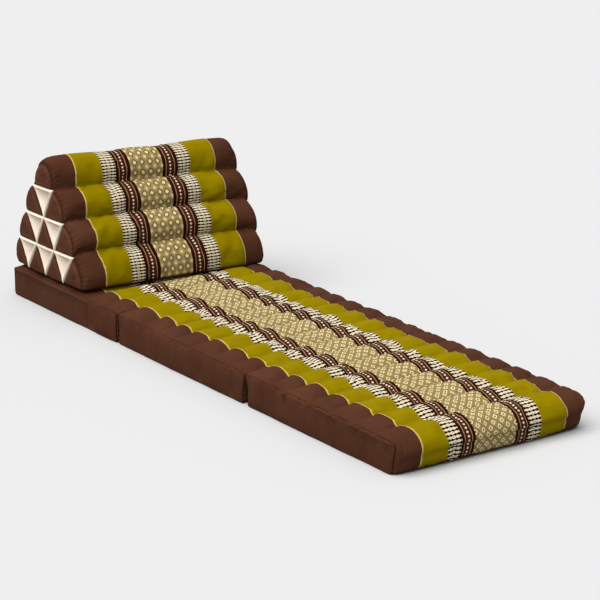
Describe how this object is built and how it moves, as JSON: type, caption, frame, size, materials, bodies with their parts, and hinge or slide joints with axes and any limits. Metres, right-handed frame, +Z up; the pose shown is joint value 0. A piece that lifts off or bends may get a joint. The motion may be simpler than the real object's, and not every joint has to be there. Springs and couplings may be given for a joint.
{
  "type": "triangle cushion on folding mat",
  "caption": "Triangular roll cushion of filled cotton on the head section of a flat folding floor mat, with printed panels, plain brown ends and small pale pockets in the cushion's ends.",
  "frame": {"origin": "on the floor, under the middle of the laid-out mat", "axes": "+X from the head end, where the cushion stands, to the foot end; +Y across the mat to the left as seen from the head end looking to the foot end; +Z up"},
  "size_m": [1.705, 0.548, 0.4116],
  "materials": {
    "brown_cotton": "matt woven cotton, dark brown",
    "printed_cotton": "matt printed cotton, olive green with cream and brown bands",
    "ivory_cotton": "matt woven cotton, ivory"
  },
  "bodies": {
    "root": {"head_mat": "brown_cotton", "middle_mat": "brown_cotton", "foot_mat": "brown_cotton", "head_mat_print": "printed_cotton", "middle_mat_print": "printed_cotton", "foot_mat_print": "printed_cotton", "head_mat_side_right": "brown_cotton", "head_mat_side_left": "brown_cotton", "middle_mat_side_right": "brown_cotton", "middle_mat_side_left": "brown_cotton", "foot_mat_side_right": "brown_cotton", "foot_mat_side_left": "brown_cotton", "fold_strip_head": "brown_cotton", "fold_strip_foot": "brown_cotton", "cushion": "brown_cotton", "cushion_print": "printed_cotton", "pocket_right_1_1": "ivory_cotton", "pocket_right_2_1": "ivory_cotton", "pocket_right_2_2": "ivory_cotton", "pocket_right_3_1": "ivory_cotton", "pocket_right_3_2": "ivory_cotton", "pocket_right_3_3": "ivory_cotton", "pocket_left_1_1": "ivory_cotton", "pocket_left_2_1": "ivory_cotton", "pocket_left_2_2": "ivory_cotton", "pocket_left_3_1": "ivory_cotton", "pocket_left_3_2": "ivory_cotton", "pocket_left_3_3": "ivory_cotton"}
  },
  "joints": []
}
